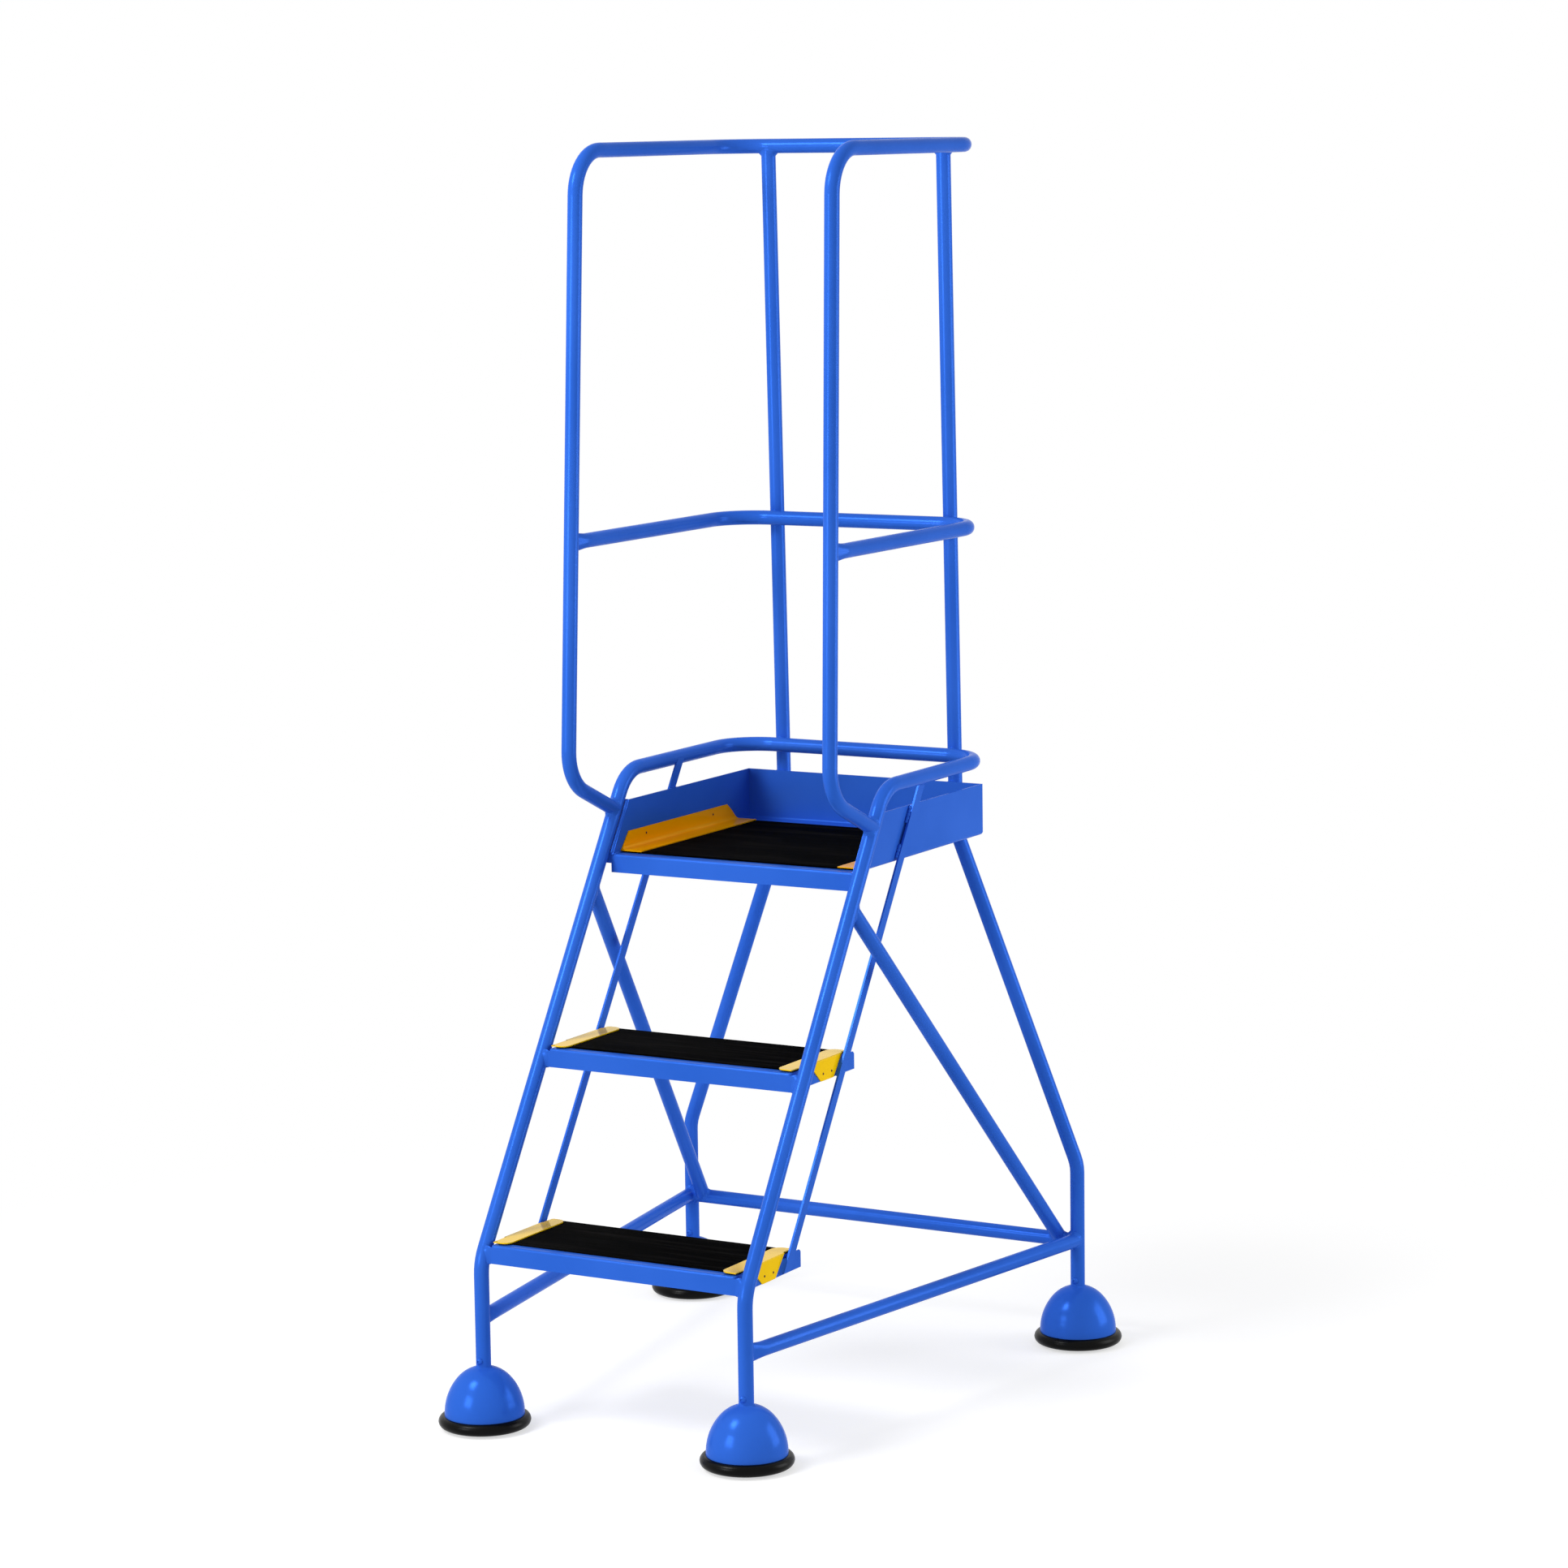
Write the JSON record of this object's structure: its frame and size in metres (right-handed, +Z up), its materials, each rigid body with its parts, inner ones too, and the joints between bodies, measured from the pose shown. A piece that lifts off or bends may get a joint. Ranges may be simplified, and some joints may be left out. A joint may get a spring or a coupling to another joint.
{
  "type": "mobile warehouse step",
  "caption": "Welded tube warehouse step with ribbed treads, a platform with kick boards and guard rail, and dome feet that hide sprung castors",
  "frame": {"origin": "on the floor, at the middle of the rectangle that the four feet cover", "axes": "+X across the steps, +Y from the front of the steps to the rear, +Z up"},
  "size_m": [0.797, 0.905, 1.7831],
  "materials": {
    "blue_paint": "gloss powder coat",
    "yellow_paint": "gloss paint",
    "rivet_steel": "dark, oiled",
    "black_mat": "fine ribs",
    "black_rubber": "moulded, half gloss",
    "zinc_steel": "zinc plated",
    "grey_nylon": "moulded"
  },
  "bodies": {
    "frame": {"stringer_loop": "blue_paint", "handrail_loop": "blue_paint", "mid_rail": "blue_paint", "rear_upright_left": "blue_paint", "rear_upright_right": "blue_paint", "base_rail_left": "blue_paint", "base_rail_right": "blue_paint", "rear_cross_rail": "blue_paint", "brace_left": "blue_paint", "brace_right": "blue_paint", "tie_bar_left": "blue_paint", "tie_bar_right": "blue_paint", "tread_1": "blue_paint", "tread_2": "blue_paint", "platform_tray": "blue_paint", "clamp_screws": "blue_paint", "dome_front_left": "blue_paint", "dome_front_right": "blue_paint", "dome_rear_left": "blue_paint", "dome_rear_right": "blue_paint", "tread_clip_1_left": "yellow_paint", "tread_clip_1_right": "yellow_paint", "tread_clip_2_left": "yellow_paint", "tread_clip_2_right": "yellow_paint", "platform_guard_left": "yellow_paint", "platform_guard_right": "yellow_paint", "clip_rivets": "rivet_steel", "tread_mat_1": "black_mat", "tread_mat_2": "black_mat", "platform_mat": "black_mat", "rubber_ring_front_left": "black_rubber", "rubber_ring_front_right": "black_rubber", "rubber_ring_rear_left": "black_rubber", "rubber_ring_rear_right": "black_rubber", "castor_housing_front_left": "zinc_steel", "castor_housing_front_right": "zinc_steel", "castor_housing_rear_left": "zinc_steel", "castor_housing_rear_right": "zinc_steel", "castor_spring_front_left": "zinc_steel", "castor_spring_front_right": "zinc_steel", "castor_spring_rear_left": "zinc_steel", "castor_spring_rear_right": "zinc_steel"},
    "stem_front_left": {"castor_stem_front_left": "zinc_steel"},
    "castor_front_left": {"castor_fork_front_left": "zinc_steel", "castor_axle_front_left": "zinc_steel"},
    "wheel_front_left": {"castor_wheel_front_left": "grey_nylon"},
    "stem_front_right": {"castor_stem_front_right": "zinc_steel"},
    "castor_front_right": {"castor_fork_front_right": "zinc_steel", "castor_axle_front_right": "zinc_steel"},
    "wheel_front_right": {"castor_wheel_front_right": "grey_nylon"},
    "stem_rear_left": {"castor_stem_rear_left": "zinc_steel"},
    "castor_rear_left": {"castor_fork_rear_left": "zinc_steel", "castor_axle_rear_left": "zinc_steel"},
    "wheel_rear_left": {"castor_wheel_rear_left": "grey_nylon"},
    "stem_rear_right": {"castor_stem_rear_right": "zinc_steel"},
    "castor_rear_right": {"castor_fork_rear_right": "zinc_steel", "castor_axle_rear_right": "zinc_steel"},
    "wheel_rear_right": {"castor_wheel_rear_right": "grey_nylon"}
  },
  "joints": [
    {"name": "castor_spring_front_left", "type": "slide", "parent": "frame", "child": "stem_front_left", "axis": [0, 0, 1], "range_m": [0, 0.005], "stiffness_N_per_m": 12000, "springref_m": -0.009, "deforming": ["castor_spring_front_left"]},
    {"name": "castor_swivel_front_left", "type": "hinge", "parent": "stem_front_left", "child": "castor_front_left", "pos_m": [-0.213, -0.3875, 0.05], "axis": [0, 0, 1], "continuous": true},
    {"name": "wheel_spin_front_left", "type": "hinge", "parent": "castor_front_left", "child": "wheel_front_left", "pos_m": [-0.213, -0.3725, 0.019], "axis": [1, 0, 0], "continuous": true},
    {"name": "castor_spring_front_right", "type": "slide", "parent": "frame", "child": "stem_front_right", "axis": [0, 0, 1], "range_m": [0, 0.005], "stiffness_N_per_m": 12000, "springref_m": -0.009, "deforming": ["castor_spring_front_right"]},
    {"name": "castor_swivel_front_right", "type": "hinge", "parent": "stem_front_right", "child": "castor_front_right", "pos_m": [0.213, -0.3875, 0.05], "axis": [0, 0, 1], "continuous": true},
    {"name": "wheel_spin_front_right", "type": "hinge", "parent": "castor_front_right", "child": "wheel_front_right", "pos_m": [0.213, -0.3725, 0.019], "axis": [1, 0, 0], "continuous": true},
    {"name": "castor_spring_rear_left", "type": "slide", "parent": "frame", "child": "stem_rear_left", "axis": [0, 0, 1], "range_m": [0, 0.005], "stiffness_N_per_m": 12000, "springref_m": -0.009, "deforming": ["castor_spring_rear_left"]},
    {"name": "castor_swivel_rear_left", "type": "hinge", "parent": "stem_rear_left", "child": "castor_rear_left", "pos_m": [-0.3335, 0.3875, 0.05], "axis": [0, 0, 1], "continuous": true},
    {"name": "wheel_spin_rear_left", "type": "hinge", "parent": "castor_rear_left", "child": "wheel_rear_left", "pos_m": [-0.3335, 0.4025, 0.019], "axis": [1, 0, 0], "continuous": true},
    {"name": "castor_spring_rear_right", "type": "slide", "parent": "frame", "child": "stem_rear_right", "axis": [0, 0, 1], "range_m": [0, 0.005], "stiffness_N_per_m": 12000, "springref_m": -0.009, "deforming": ["castor_spring_rear_right"]},
    {"name": "castor_swivel_rear_right", "type": "hinge", "parent": "stem_rear_right", "child": "castor_rear_right", "pos_m": [0.3335, 0.3875, 0.05], "axis": [0, 0, 1], "continuous": true},
    {"name": "wheel_spin_rear_right", "type": "hinge", "parent": "castor_rear_right", "child": "wheel_rear_right", "pos_m": [0.3335, 0.4025, 0.019], "axis": [1, 0, 0], "continuous": true}
  ]
}
